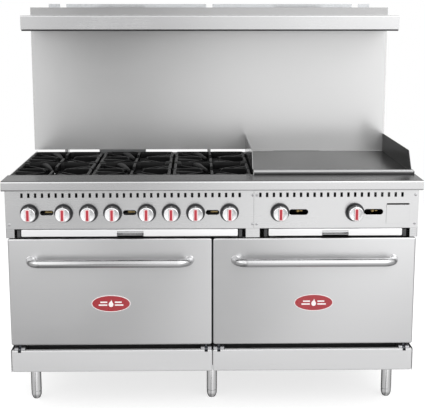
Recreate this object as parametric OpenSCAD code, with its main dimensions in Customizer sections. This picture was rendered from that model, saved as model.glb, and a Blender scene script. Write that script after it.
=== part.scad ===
// Commercial gas range: six open burners, a griddle, two ovens and a high-shelf backguard.
// Origin at the middle of the footprint on the floor. +X is to the right, +Y to the back, +Z up.

/* [Body] */
// Width of the body, side to side
body_w = 1524; // [1500:1:1560]
// Depth from the front of the rail to the rear panel
body_d = 813; // [800:1:840]
// Height of the cooking surface above the floor
cook_h = 914; // [905:1:925]
// Clear height under the body
leg_h = 168; // [150:1:175]
// Thickness of the outer sheet metal
sheet = 2; // [1.5:0.1:2.5]
// Length of the gas inlet stub behind the rear panel
inlet_stub = 20; // [15:1:40]

/* [Front] */
// How far the rail stands in front of the control panel
rail_set = 67; // [60:1:75]
// Height of the rail's front face
rail_h = 36; // [30:1:42]
// Depth of the flat ledge from the rail's front to the grates
ledge_d = 140; // [130:1:150]
// Radius of the rail's front edges
rail_r = 6; // [3:0.5:10]
// Height of the control panel's lower edge
panel_z = 724; // [720:1:728]
// Width of the griddle section
griddle_w = 609.6; // [600:0.1:620]

/* [Controls] */
// Height of the knob centres
knob_z = 785; // [780:1:790]
// Radius of a knob
knob_r = 28.5; // [25:0.5:31]
// Radius of the dial ring behind a knob
dial_r = 35.5; // [32:0.5:35.5]
// Distance from the control panel to the front of a knob's grip
knob_reach = 50; // [40:1:56]
// Radius of a knob's stem
stem_r = 4; // [3:0.5:5]
// Radius of the gas manifold pipe
manifold_r = 16.7; // [13:0.1:21]
// Width of a lighting slot in the burner panel
slot_w = 50; // [40:1:56]
// Height of a lighting slot
slot_h = 18; // [14:1:20]
// Width of a lighting slot in the griddle panel
griddle_slot_w = 71; // [60:1:76]
// Distance from one vent slot to the next
vent_pitch = 25; // [24:0.1:28]

/* [Doors] */
// Height of a door's lower edge
door_z = 274; // [272:1:276]
// Height of a door
door_h = 413; // [405:1:414]
// Gap between the two doors
door_gap = 4; // [3:0.5:6]
// Thickness of a door
door_t = 55; // [50:1:60]
// Length of a door handle
handle_w = 620; // [560:1:660]
// Radius of a handle's tube
handle_r = 15.5; // [11:0.5:16]
// Distance from the door's face to the middle of the handle's bar
handle_reach = 51; // [45:1:51]
// Height of a handle's bar
handle_z = 605; // [590:1:620]
// Width of the oval badge
badge_w = 146; // [120:1:160]
// Height of the oval badge
badge_h = 65; // [50:1:75]

/* [Ovens] */
// Clear width inside an oven
oven_w = 673; // [650:1:680]
// Clear depth inside an oven
oven_d = 590; // [560:1:600]
// Height of an oven's floor
oven_z = 300; // [298:1:306]
// Clear height inside an oven
oven_h = 352; // [340:1:354]

/* [Hob] */
// Distance between the centres of neighbouring grates
grate_pitch = 304.8; // [304:0.1:306]
// Width and depth of a grate
grate_w = 300; // [296:0.5:302]
// Height of a grate
grate_h = 30; // [26:1:34]
// Radius of a burner head
burner_r = 48; // [40:1:55]
// Thickness of the griddle plate
plate_t = 20; // [15:1:25]
// Height of the griddle's side splashes above the cooking surface
splash_h = 75; // [60:1:90]

/* [Backguard] */
// Height of the backguard above the cooking surface
guard_h = 617; // [600:1:630]
// Thickness of the backguard, front to back
guard_t = 63; // [55:1:70]
// Height of the gap under the backguard
guard_gap = 7.5; // [5:0.5:10]
// Depth of the high shelf
shelf_d = 242; // [230:1:255]
// Height of the high shelf's front lip
lip_h = 55; // [45:1:60]
// Distance from the top of the backguard down to the shelf
shelf_drop = 33; // [25:1:40]

/* [Legs] */
// Radius of a leg's tube
leg_r = 20.5; // [18:0.5:24]
// Distance from the middle to the centre of an outer leg
leg_x = 697; // [680:1:705]
// Distance from the control panel back to the front legs
leg_back = 157; // [140:1:170]

/* [Hidden] */
$fn = 64;
seam = 0.15;
half_w = body_w / 2;
front_y = -(body_d + inlet_stub) / 2;
panel_y = front_y + rail_set;
hob_y = front_y + ledge_d;
back_y = front_y + body_d;
guard_y = back_y - guard_t;
face_y = panel_y + door_t + 3;
split_x = half_w - griddle_w;
panel_top = cook_h - sheet - seam;
// Top of the body behind the hob, low enough to leave the gap under the backguard open
rear_top = cook_h - 14;
bay_x = half_w / 2;
door_w = half_w - door_gap / 2 - 4;
door_x = door_gap / 2 + door_w / 2;
pivot_y = panel_y + 20;
pivot_z = door_z - 24;
kick_top = pivot_z + 4;
bracket_x = [half_w - 33, 24];
tray_z = 695;
tray_h = 27;
tray_l = [-706, 94];
tray_r = [208, 705];
drawer_x = [643, 730];
drawer_z = [741, 819];
column_x = [for (i = [0:2]) -half_w + grate_pitch * (i + 0.5)];
row_y = [hob_y + grate_pitch / 2, hob_y + grate_pitch * 1.5];
valve_dx = 62.5;
oven_knob_x = [-456, -152];
griddle_knob_x = [248.6, 525.7];
griddle_slot_x = [318, 596];
burner_knob_x = [for (x = column_x, side = [-1, 1]) x + side * valve_dx];
manifold_y = panel_y + 78;
leg_places = [for (x = [-leg_x, 0, leg_x], y = [panel_y + leg_back, back_y - 70]) [x, y]];
shelf_z = cook_h + guard_h - shelf_drop;
flue_x = [-bay_x, bay_x];
flue_w = 200;
grate_z = cook_h - grate_h;
bar_h = 14;
plate_x = [split_x + 4, half_w - 6];
trough_y = [hob_y + 2, hob_y + 66];

// Shared shapes

module block(x, y, z)
    translate([x[0], y[0], z[0]])
        cube([x[1] - x[0], y[1] - y[0], z[1] - z[0]]);

module rod_x(r, x, y, z)
    translate([x[0], y, z])
        rotate([0, 90, 0])
            cylinder(r = r, h = x[1] - x[0]);

module rod_y(r, x, y, z)
    translate([x, y[1], z])
        rotate([90, 0, 0])
            cylinder(r = r, h = y[1] - y[0]);

module rod_z(r, x, y, z)
    translate([x, y, z[0]])
        cylinder(r = r, h = z[1] - z[0]);

// A flat outline drawn in X and Z, given thickness from y[0] back to y[1]
module upright(y)
    translate([0, y[1], 0])
        rotate([90, 0, 0])
            linear_extrude(y[1] - y[0])
                children();

// An outline drawn in Y and Z, run along X
module along_x(x)
    translate([x[0], 0, 0])
        rotate([90, 0, 90])
            linear_extrude(x[1] - x[0])
                children();

module rounded_slot(w, h) {
    square([w - h, h], center = true);
    for (side = [-1, 1])
        translate([side * (w - h) / 2, 0])
            circle(d = h);
}

module oval(w, h)
    polygon([for (a = [0:5:355]) [w / 2 * cos(a), h / 2 * sin(a)]]);

// A pan with the mouth up
module pan(x, y, z, t)
    difference() {
        block(x, y, z);
        block([x[0] + t, x[1] - t], [y[0] + t, y[1] - t], [z[0] + t, z[1] + 1]);
    }

// Body

module base_frame() {
    tube = 30;
    z = [leg_h + 4, leg_h + 4 + tube];
    x = half_w - 8;
    y = [panel_y + 60, back_y - 6];
    color("dimgray") {
        for (yy = [y[0], y[1] - tube])
            block([-x, x], [yy, yy + tube], z);
        for (xx = [-x, -tube / 2, x - tube])
            block([xx, xx + tube], [y[0] + tube + seam, y[1] - tube - seam], z);
        for (p = leg_places)
            block([p[0] - 45, p[0] + 45], [p[1] - 45, p[1] + 45], [leg_h, leg_h + 4 - seam]);
    }
}

module legs()
    color("silver")
        for (p = leg_places)
            difference() {
                rod_z(leg_r, p[0], p[1], [34, leg_h - seam]);
                rod_z(leg_r - 2, p[0], p[1], [54, leg_h + 1]);
                rod_z(8.1, p[0], p[1], [30, 60]);
            }

module levelling_feet()
    color("gray")
        for (p = leg_places)
            translate([p[0], p[1], 0]) {
                cylinder(r1 = leg_r - 8, r2 = leg_r - 1, h = 12);
                translate([0, 0, 12])
                    cylinder(r = leg_r - 1, h = 21.5);
                translate([0, 0, 33])
                    cylinder(r = 8, h = 42);
            }

module side_panels()
    color("silver")
        for (side = [-1, 1]) {
            top = cook_h - 6;
            x = side < 0 ? [-half_w, -half_w + sheet] : [half_w - sheet, half_w];
            along_x(x)
                polygon([
                    [panel_y, leg_h], [back_y - sheet - seam, leg_h], [back_y - sheet - seam, top],
                    [panel_y + sheet + seam, top], [panel_y + sheet + seam, panel_z - seam],
                    [panel_y, panel_z - seam], [panel_y, door_z + door_h + 3],
                    [face_y, door_z + door_h + 3], [face_y, kick_top], [panel_y, kick_top]
                ]);
            // Front end post beside the crumb tray
            post = side < 0 ? [-half_w + sheet + seam, -half_w + 31] : [half_w - 29, half_w - sheet - seam];
            block(post, [panel_y + 1, panel_y + 1 + sheet], [door_z + door_h + 3, panel_z - seam]);
        }

module rear_panel()
    color("silver")
        upright([back_y - sheet, back_y])
            difference() {
                translate([-half_w, leg_h])
                    square([body_w, rear_top - leg_h]);
                translate([-half_w + 90, knob_z])
                    square(70, center = true);
                for (x = flue_x, i = [-6:6])
                    translate([x + i * 40, leg_h + 90])
                        square([8, 60], center = true);
            }

// Folded kick panels, notched at the top where the hinge hooks swing down
module kick_panels()
    color("silver")
        for (side = [-1, 1]) {
            x = side < 0 ? [-half_w + sheet + seam, -1] : [1, half_w - sheet - seam];
            difference() {
                block(x, [panel_y, panel_y + 14], [leg_h, kick_top]);
                block([x[0] + sheet, x[1] - sheet], [panel_y + sheet, panel_y + 15], [leg_h + sheet, kick_top + 1]);
                for (notch = bracket_x)
                    block([side * notch - 6, side * notch + 6], [panel_y - 1, panel_y + 15],
                          [pivot_z - 5, kick_top + 1]);
            }
        }

// Double wall between the ovens, and the short post between the crumb trays
module centre_partition()
    color("gray") {
        block([-sheet, sheet], [face_y + 3, back_y - 40], [leg_h + 36, tray_z - 4]);
        block([123, 175], [panel_y + 1, panel_y + 1 + sheet], [door_z + door_h + 3, panel_z - seam]);
    }

module oven_front_frame() {
    z = [leg_h + 2, door_z + door_h];
    y = [face_y, face_y + sheet];
    mouth = [oven_z, oven_z + oven_h];
    edge = half_w - sheet - seam;
    stile = (half_w - oven_w) / 2;
    color("gainsboro") {
        block([-edge, edge], y, [mouth[1], z[1]]);
        block([-edge, edge], y, [z[0], mouth[0]]);
        for (x = [[-edge, -half_w + stile], [-stile, stile], [half_w - stile, edge]])
            block(x, y, [mouth[0] + seam, mouth[1] - seam]);
    }
}

// Ears and pins that carry the door hinges
module hinge_brackets()
    color("slategray")
        for (side = [-1, 1], x = bracket_x) {
            c = side * x;
            for (ear = [[c - 20, c - 6], [c + 6, c + 20]]) {
                rod_x(15, ear, pivot_y, pivot_z);
                block(ear, [pivot_y, face_y - 5], [pivot_z - 15, pivot_z + 15]);
            }
            block([c - 20, c + 20], [face_y - 7, face_y - seam], [pivot_z - 15, pivot_z + 15]);
            rod_x(5, [c - 20, c + 20], pivot_y, pivot_z);
        }

// Ovens

module oven_liners() {
    t = 2;
    y = [face_y + sheet + seam, face_y + sheet + oven_d];
    z = [oven_z, oven_z + oven_h];
    color("gray")
        for (c = flue_x) {
            x = [c - oven_w / 2, c + oven_w / 2];
            block([x[0] - t, x[0] - seam], y, z);
            block([x[1] + seam, x[1] + t], y, z);
            block([x[0] - t, x[1] + t], y, [z[1] + seam, z[1] + t]);
            block([x[0] - t, x[1] + t], [y[1] + seam, y[1] + t], [z[0], z[1] - 60]);
            // Oven deck
            block([x[0] - t, x[1] + t], y, [z[0] - 5, z[0] - seam]);
        }
}

module rack_guides()
    color("darkgray")
        for (c = flue_x, side = [-1, 1], level = [0:3]) {
            wall = c + side * oven_w / 2;
            x = side < 0 ? [wall + seam, wall + 12] : [wall - 12, wall - seam];
            z = oven_z + 66 + level * 75;
            block(x, [face_y + 30, face_y + oven_d - 30], [z, z + 4]);
        }

rack_levels = [1, 3];

module oven_racks()
    color("silver")
        for (c = flue_x, level = rack_levels) {
            w = oven_w - 6;
            d = oven_d - 60;
            z = oven_z + 70 + level * 75 + seam;
            translate([c - w / 2, face_y + 30, z])
                linear_extrude(5) {
                    for (y = [0, d / 2, d - 6])
                        translate([0, y])
                            square([w, 6]);
                    for (i = [0:22])
                        translate([i * (w - 5) / 22, 0])
                            square([5, d]);
                }
        }

module oven_burners()
    color("darkslategray")
        for (c = flue_x) {
            for (x = [c - 150, c + 150])
                rod_y(17, x, [panel_y + 120, face_y + oven_d - 60], leg_h + 76);
            rod_x(17, [c - 133 + seam, c + 133 - seam], panel_y + 137, leg_h + 76);
            block([c - 250, c + 250], [panel_y + 110, face_y + oven_d - 20], [leg_h + 104, leg_h + 107]);
        }

module oven_insulation() {
    y = [face_y + 6, face_y + oven_d];
    z = [oven_z - 4, oven_z + oven_h + 2];
    color("dimgray")
        for (c = flue_x) {
            for (side = [-1, 1]) {
                inner = c + side * (oven_w / 2 + 2 + seam);
                outer = c + side * (bay_x - 3);
                block([min(inner, outer), max(inner, outer)], y, z);
            }
            block([c - bay_x + 3, c + bay_x - 3], y, [z[1] + seam, tray_z - 6]);
        }
}

// Ledges that carry the crumb trays and the grease drawer
module tray_runners()
    color("dimgray") {
        for (x = [tray_l, tray_r], edge = [x[0] - 16, x[1] + 4])
            block([edge, edge + 12], [panel_y + 6, guard_y - 20], [tray_z - 4, tray_z + tray_h - 3]);
        for (x = [tray_l, tray_r], edge = [x[0] + 4, x[1] - 24])
            block([edge, edge + 20], [panel_y + 6, guard_y - 20], [tray_z - 4, tray_z - 0.5]);
        for (x = drawer_x)
            block([x - 5, x + 5], [panel_y + 20, panel_y + 400], [drawer_z[0] - 2, drawer_z[0] + 2.5]);
    }

// Backguard and shelf

module flue_risers() {
    t = 2;
    y = [guard_y + sheet + 2, back_y - sheet - 2];
    z = [oven_z + oven_h - 50, cook_h + guard_h - 4];
    color("gray")
        for (c = flue_x) {
            x = [c - flue_w / 2, c + flue_w / 2];
            for (yy = [[y[0], y[0] + t], [y[1] - t, y[1]]])
                block(x, yy, z);
            for (xx = [[x[0], x[0] + t], [x[1] - t, x[1]]])
                block(xx, [y[0] + t + seam, y[1] - t - seam], z);
        }
}

module backguard_front() {
    z = [cook_h + guard_gap, cook_h + guard_h];
    color("silver") {
        block([-half_w, half_w], [guard_y, guard_y + sheet], z);
        // Closed foot behind the griddle
        block([split_x + 2, half_w], [guard_y, guard_y + sheet], [cook_h, z[0] - seam]);
        // Stand-offs in the gap
        for (x = [[-631, -617], [-10, 4]])
            block(x, [guard_y + 4, back_y - 8], [rear_top, z[0] - seam]);
    }
}

module backguard_rear() {
    z = [cook_h + guard_gap, cook_h + guard_h];
    y = [guard_y + sheet + seam, back_y];
    strip_x = half_w - 70;
    notch = 27;
    color("silver") {
        block([-half_w, half_w], [y[1] - sheet, y[1]], z);
        for (x = [[-half_w, -half_w + sheet], [half_w - sheet, half_w]])
            block(x, [y[0], y[1] - sheet - seam], z);
        // Top, left open over the flues
        for (x = [[-half_w + sheet + seam, -bay_x - flue_w / 2 - 2],
                  [-bay_x + flue_w / 2 + 2, bay_x - flue_w / 2 - 2],
                  [bay_x + flue_w / 2 + 2, half_w - sheet - seam]])
            block(x, [y[0], y[1] - sheet - seam], [z[1] - sheet, z[1]]);
        // Raised rear strip in four lengths
        for (x = [[-strip_x, -630 - notch / 2], [-630 + notch / 2, -notch / 2],
                  [notch / 2, 630 - notch / 2], [630 + notch / 2, strip_x]])
            block(x, [y[1] - sheet, y[1]], [z[1] + seam, z[1] + 15]);
    }
}

module high_shelf() {
    y = guard_y - shelf_d;
    color("silver")
        along_x([-half_w, half_w])
            union() {
                translate([y, shelf_z - lip_h])
                    square([sheet, lip_h - 4]);
                translate([y + 4, shelf_z - sheet])
                    square([shelf_d - 4 - seam, sheet]);
                translate([y, shelf_z - lip_h])
                    square([14, sheet]);
                difference() {
                    translate([y + 4, shelf_z - 4])
                        circle(r = 4);
                    translate([y + 4, shelf_z - 4])
                        circle(r = 2);
                    translate([y + 4, shelf_z - 9])
                        square([5, 14]);
                    translate([y - 1, shelf_z - 9])
                        square([10, 5]);
                }
            }
}

// End gussets under the shelf
module shelf_brackets()
    color("silver")
        for (x = [[-half_w, -half_w + sheet], [half_w - sheet, half_w]])
            along_x(x)
                polygon([
                    [guard_y - seam, shelf_z - sheet - seam],
                    [guard_y - seam, shelf_z - lip_h - 8],
                    [guard_y - 20, shelf_z - lip_h - 8],
                    [guard_y - shelf_d + 15, shelf_z - lip_h + 4],
                    [guard_y - shelf_d + 15, shelf_z - sheet - seam]
                ]);

// Control panels

module vents(from, count)
    for (i = [0:count - 1])
        translate([from + i * vent_pitch, panel_z + 126])
            square([8.8, 17], center = true);

module control_panel_left()
    color("silver")
        upright([panel_y, panel_y + sheet])
            difference() {
                translate([-half_w, panel_z])
                    square([half_w + split_x - seam, panel_top - panel_z]);
                vents(-700, 33);
                for (x = concat(burner_knob_x, oven_knob_x))
                    translate([x, knob_z])
                        circle(r = 9);
                for (x = column_x)
                    translate([x, knob_z])
                        rounded_slot(slot_w, slot_h);
            }

module control_panel_right()
    color("silver")
        upright([panel_y, panel_y + sheet])
            difference() {
                translate([split_x + seam, panel_z])
                    square([griddle_w - seam, panel_top - panel_z]);
                vents(176, 22);
                for (x = griddle_knob_x)
                    translate([x, knob_z])
                        circle(r = 9);
                for (x = griddle_slot_x)
                    translate([x, knob_z])
                        rounded_slot(griddle_slot_w, slot_h + 3);
                translate([drawer_x[0] + 2, drawer_z[0] + 2])
                    square([drawer_x[1] - drawer_x[0] - 4, drawer_z[1] - drawer_z[0] - 4]);
            }

screw_places = [[-half_w + 14, 741], [split_x - 10, 741], [split_x - 10, 849],
                [split_x + 10, 741], [split_x + 10, 849],
                [half_w - 12, 741], [half_w - 12, 849]];

module panel_screws()
    color("darkgray")
        for (p = screw_places) {
            rod_y(5, p[0], [panel_y - 2.5, panel_y - seam], p[1]);
        }

module bezel(x)
    difference() {
        rod_y(dial_r, x, [panel_y - 4, panel_y - seam], knob_z);
        rod_y(9, x, [panel_y - 5, panel_y + 1], knob_z);
    }

module knob_bezels()
    color("gray")
        for (x = concat(burner_knob_x, oven_knob_x, griddle_knob_x))
            bezel(x);

// Folded rail with closed ends
module front_rail() {
    low = cook_h - rail_h;
    color("silver") {
        along_x([-half_w, half_w])
            difference() {
                union() {
                    translate([front_y + rail_r, low])
                        square([rail_set - rail_r - seam, rail_h]);
                    translate([front_y, low + rail_r])
                        square([rail_r, rail_h - 2 * rail_r]);
                    for (z = [low + rail_r, cook_h - rail_r])
                        translate([front_y + rail_r, z])
                            circle(r = rail_r);
                    translate([front_y + rail_r, cook_h - sheet])
                        square([ledge_d - rail_r - seam, sheet]);
                }
                translate([front_y + rail_r, low + sheet])
                    square([rail_set, rail_h - 2 * sheet]);
                translate([front_y + sheet, low + rail_r])
                    square([rail_r, rail_h - 2 * rail_r]);
                for (z = [low + rail_r, cook_h - rail_r])
                    translate([front_y + rail_r, z])
                        circle(r = rail_r - sheet);
            }
        for (x = [[-half_w + seam, -half_w + sheet], [half_w - sheet, half_w - seam]])
            block(x, [front_y + rail_r, panel_y - seam], [low + sheet + seam, cook_h - sheet - seam]);
    }
}

// Gas system

// Pipe behind the controls, with the inlet run to the rear
module gas_manifold() {
    inlet_x = -half_w + 90;
    color("darkslategray") {
        rod_x(manifold_r, [inlet_x - manifold_r, 600], manifold_y, knob_z);
        rod_y(manifold_r, inlet_x, [manifold_y + manifold_r + seam, back_y - 14], knob_z);
        // Union nut, thread relief and the nipple that takes the supply
        rod_y(24, inlet_x, [back_y - 14, back_y - 4], knob_z);
        rod_y(manifold_r - 1.2, inlet_x, [back_y - 4, back_y], knob_z);
        rod_y(manifold_r, inlet_x, [back_y, back_y + inlet_stub], knob_z);
    }
}

module valve(x, l) {
    difference() {
        union() {
            rod_y(11, x, [panel_y + 14, manifold_y - manifold_r - seam], knob_z);
            rod_y(16, x, [panel_y + 30, panel_y + 30 + l], knob_z);
        }
        rod_y(stem_r + 0.05, x, [panel_y + 13, panel_y + 40], knob_z);
    }
}

// Tap bodies on the manifold, and the pilot valves seen through the lighting slots
module gas_valves()
    color("goldenrod") {
        for (x = concat(burner_knob_x, griddle_knob_x))
            valve(x, 18);
        for (x = oven_knob_x)
            valve(x, 26);
        for (x = concat(column_x, griddle_slot_x)) {
            rod_y(4, x, [panel_y + 18, manifold_y - manifold_r - seam], knob_z);
            rod_y(6, x, [panel_y + 26, panel_y + 40], knob_z);
        }
    }

// Hob

// Frame that carries the grates, with the walls of the burner compartment
module burner_box() {
    x = [-half_w + sheet + seam, split_x];
    z = [grate_z - bar_h, grate_z - seam];
    color("dimgray") {
        block(x, [hob_y + seam, hob_y + 16], z);
        block(x, [row_y[0] + grate_pitch / 2 - 8, row_y[0] + grate_pitch / 2 + 8], z);
        block(x, [guard_y - 16, guard_y], z);
        wall_z = [tray_z + tray_h + 4, z[0] - seam];
        block([split_x - sheet, split_x + sheet], [manifold_y + manifold_r + 5, guard_y], wall_z);
        block([-half_w + sheet + seam, -half_w + 2 * sheet], [hob_y + seam, guard_y], wall_z);
        for (x = [[-half_w + sheet + seam, flue_x[0] - flue_w / 2 - seam],
                  [flue_x[0] + flue_w / 2 + seam, flue_x[1] - flue_w / 2 - seam],
                  [flue_x[1] + flue_w / 2 + seam, half_w - sheet - seam]])
            block(x, [guard_y + sheet + seam, back_y - sheet - seam], [rear_top - 5, rear_top - seam]);
    }
}

burner_z = grate_z - 34;

// Cast venturi tubes and burner bowls
module burner_bodies()
    color("dimgray")
        for (cx = column_x, row = [0, 1]) {
            cy = row_y[row];
            vx = cx + (row == 0 ? -1 : 1) * valve_dx;
            rod_y(14, vx, [manifold_y + manifold_r + 4, cy + 14], burner_z - 34);
            block([min(cx, vx), max(cx, vx)], [cy - 12, cy + 12], [burner_z - 46, burner_z - 22]);
            rod_z(24, cx, cy, [burner_z - 46, burner_z - 8]);
            rod_z(burner_r - 4, cx, cy, [burner_z - 10, burner_z - seam]);
        }

module burner_heads()
    color("darkgray")
        for (cx = column_x, cy = row_y)
            difference() {
                union() {
                    rod_z(burner_r, cx, cy, [burner_z, burner_z + 12]);
                    rod_z(burner_r - 12, cx, cy, [burner_z + 12, burner_z + 20]);
                }
                for (a = [0:30:330])
                    translate([cx, cy, burner_z + 3])
                        rotate([0, 0, a])
                            translate([burner_r - 5, -1.5, 0])
                                cube([8, 3, 10]);
            }

module griddle_plate()
    color("slategray")
        block(plate_x, [trough_y[1] + 2, guard_y - 2], [cook_h - plate_t, cook_h]);

// Splashes, grease trough and the chute down to the drawer
module griddle_surround() {
    chute = [drawer_x[0] + 18, drawer_x[1] - 18];
    chute_y = [trough_y[0] + 8, trough_y[1] - 8];
    floor_z = cook_h - 36;
    color("silver") {
        for (x = [[split_x + sheet + seam, plate_x[0] - seam], [plate_x[1] + seam, half_w - sheet - seam]])
            along_x(x)
                polygon([
                    [guard_y - 1, cook_h - 44], [guard_y - 1, cook_h + splash_h],
                    [guard_y - 503, cook_h + splash_h], [guard_y - 553, cook_h + 10],
                    [hob_y + 1, cook_h + 10], [hob_y + 1, cook_h - 44]
                ]);
        // Trough
        rod_x(6.5, plate_x, hob_y + 7.5, cook_h + 3.5);
        block(plate_x, [trough_y[0], trough_y[0] + sheet], [floor_z, cook_h - 4]);
        block(plate_x, [trough_y[1] - sheet, trough_y[1]], [floor_z, cook_h - plate_t - 2]);
        y = [trough_y[0] + sheet + seam, trough_y[1] - sheet - seam];
        block([plate_x[0], chute[0]], y, [floor_z, floor_z + sheet]);
        block([chute[1], plate_x[1]], y, [floor_z, floor_z + sheet]);
        block([chute[0] + seam, chute[1] - seam], [y[0], chute_y[0]], [floor_z, floor_z + sheet]);
        block([chute[0] + seam, chute[1] - seam], [chute_y[1], y[1]], [floor_z, floor_z + sheet]);
        // Chute
        drop = [drawer_z[1] + 2, floor_z - seam];
        for (xx = [[chute[0] - sheet, chute[0]], [chute[1], chute[1] + sheet]])
            block(xx, chute_y, drop);
        for (yy = [[chute_y[0] - sheet, chute_y[0] - seam], [chute_y[1] + seam, chute_y[1] + sheet]])
            block([chute[0] - sheet, chute[1] + sheet], yy, drop);
    }
}

module griddle_burners()
    color("dimgray")
        for (kx = griddle_knob_x, dx = [-60, 90])
            rod_y(16, kx + dx, [manifold_y + manifold_r + 30, guard_y - 60], cook_h - plate_t - 45);

// Doors

// Folded outer skin, with notches in its lower edge for the hinge hooks
module door_skin(c)
    color("silver")
        difference() {
            block([c - door_w / 2, c + door_w / 2], [panel_y, panel_y + 30], [door_z, door_z + door_h]);
            block([c - door_w / 2 + 1.5, c + door_w / 2 - 1.5], [panel_y + 1.5, panel_y + 31],
                  [door_z + 1.5, door_z + door_h - 1.5]);
            for (x = bracket_x)
                block([sign(c) * x - 6, sign(c) * x + 6], [pivot_y - 12, panel_y + 31], [door_z - 1, door_z + 2]);
        }

// Inner pan that seals the oven mouth, with the hinge hooks
module door_liner(c)
    color("gray") {
        y = [panel_y + 30 + seam, panel_y + door_t];
        plug = [c - oven_w / 2 + 14, c + oven_w / 2 - 14];
        plug_z = [oven_z + 12, oven_z + oven_h - 12];
        difference() {
            union() {
                block([c - door_w / 2 + 6, c + door_w / 2 - 6], y, [door_z + 6, door_z + door_h - 6]);
                block(plug, [y[1] - 1, y[1] + 12], plug_z);
            }
            block([c - door_w / 2 + 8, c + door_w / 2 - 8], [y[0] - 1, y[1] - 2],
                  [door_z + 8, door_z + door_h - 8]);
            block([plug[0] + 2, plug[1] - 2], [y[1] - 3, y[1] + 10], [plug_z[0] + 2, plug_z[1] - 2]);
        }
        for (x = bracket_x) {
            hook = [sign(c) * x - 4, sign(c) * x + 4];
            difference() {
                union() {
                    rod_x(10, hook, pivot_y, pivot_z);
                    block(hook, [pivot_y - 2, pivot_y + 8], [pivot_z, door_z + 9]);
                    block(hook, [pivot_y - 8, y[1] - 1], [door_z + 9, door_z + 60]);
                }
                rod_x(5.05, [hook[0] - 1, hook[1] + 1], pivot_y, pivot_z);
            }
        }
    }

// Tube bent back to the door at both ends
module door_handle(c) {
    bend = 44;
    bar_y = panel_y - handle_reach;
    color("silver") {
        rod_x(handle_r, [c - handle_w / 2 + handle_r + bend, c + handle_w / 2 - handle_r - bend], bar_y, handle_z);
        for (side = [-1, 1]) {
            translate([c + side * (handle_w / 2 - handle_r - bend), bar_y + bend, handle_z])
                rotate([0, 0, side < 0 ? 180 : 270])
                    rotate_extrude(angle = 90)
                        translate([bend, 0])
                            circle(r = handle_r);
            rod_y(handle_r, c + side * (handle_w / 2 - handle_r), [bar_y + bend, panel_y - seam], handle_z);
        }
    }
}

module door_badge(c)
    color("firebrick")
        upright([panel_y - 4, panel_y - seam])
            translate([c, door_z + 164])
                oval(badge_w, badge_h);

// Trays and drawer

// Wide shallow pan with a front strip and a finger tab
module crumb_tray(x, tab)
    color("gainsboro") {
        y = [panel_y + sheet + seam, guard_y - 30];
        pan([x[0] + 2, x[1] - 2], y, [tray_z, tray_z + tray_h - 6], 1.5);
        block(x, [panel_y, panel_y + sheet + seam], [tray_z, tray_z + tray_h]);
        block([tab - 50, tab + 50], [panel_y - 16, panel_y], [tray_z + 2, tray_z + 4]);
    }

// Deep narrow box that catches grease from the griddle
module grease_drawer()
    color("silver") {
        y = [panel_y - seam, panel_y + 380];
        pan([drawer_x[0] + 6, drawer_x[1] - 6], y, [drawer_z[0] + 3, drawer_z[1] - 20], 1.5);
        // Front that stops short of the opening, which leaves a finger slot above it
        block(drawer_x, [panel_y - 3, panel_y - seam], [drawer_z[0], drawer_z[1] - 7]);
    }

// Controls and grates

// Deep round knob with a low grip, on its stem
module knob(x)
    color("silver") {
        drum_y = panel_y - knob_reach + 8;
        rod_y(knob_r, x, [drum_y, panel_y - 4.5], knob_z);
        block([x - 7, x + 7], [panel_y - knob_reach, drum_y], [knob_z - 24, knob_z + 24]);
        rod_y(stem_r, x, [panel_y - 4.5, panel_y + 36], knob_z);
    }

// Square casting with a rim, cross ribs and corner fingers round an open middle
module grate(cx, cy)
    color("dimgray")
        translate([cx, cy, grate_z])
            linear_extrude(grate_h) {
                difference() {
                    square(grate_w, center = true);
                    square(grate_w - 28, center = true);
                }
                difference() {
                    for (a = [0:45:135])
                        rotate(a)
                            square([a % 90 == 0 ? grate_w - 4 : grate_w * 1.35, 12], center = true);
                    circle(r = 40);
                }
            }

base_frame();
legs();
levelling_feet();
side_panels();
rear_panel();
kick_panels();
centre_partition();
oven_front_frame();
hinge_brackets();
oven_liners();
rack_guides();
oven_racks();
oven_burners();
oven_insulation();
tray_runners();
flue_risers();
backguard_front();
backguard_rear();
high_shelf();
shelf_brackets();
control_panel_left();
control_panel_right();
panel_screws();
knob_bezels();
front_rail();
gas_manifold();
gas_valves();
burner_box();
burner_bodies();
burner_heads();
griddle_plate();
griddle_surround();
griddle_burners();
door_skin(-door_x);  // door_skin_left
door_liner(-door_x);  // door_liner_left
door_handle(-door_x);  // door_handle_left
door_badge(-door_x);  // door_badge_left
door_skin(door_x);  // door_skin_right
door_liner(door_x);  // door_liner_right
door_handle(door_x);  // door_handle_right
door_badge(door_x);  // door_badge_right
crumb_tray(tray_l, -304);  // crumb_tray_left
crumb_tray(tray_r, 456);  // crumb_tray_right
grease_drawer();
knob(burner_knob_x[0]);  // knob_burner_1
knob(burner_knob_x[1]);  // knob_burner_2
knob(burner_knob_x[2]);  // knob_burner_3
knob(burner_knob_x[3]);  // knob_burner_4
knob(burner_knob_x[4]);  // knob_burner_5
knob(burner_knob_x[5]);  // knob_burner_6
knob(oven_knob_x[0]);  // knob_oven_left
knob(oven_knob_x[1]);  // knob_oven_right
knob(griddle_knob_x[0]);  // knob_griddle_1
knob(griddle_knob_x[1]);  // knob_griddle_2
grate(column_x[0], row_y[0]);  // grate_1
grate(column_x[1], row_y[0]);  // grate_2
grate(column_x[2], row_y[0]);  // grate_3
grate(column_x[0], row_y[1]);  // grate_4
grate(column_x[1], row_y[1]);  // grate_5
grate(column_x[2], row_y[1]);  // grate_6
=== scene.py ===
import math

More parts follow.
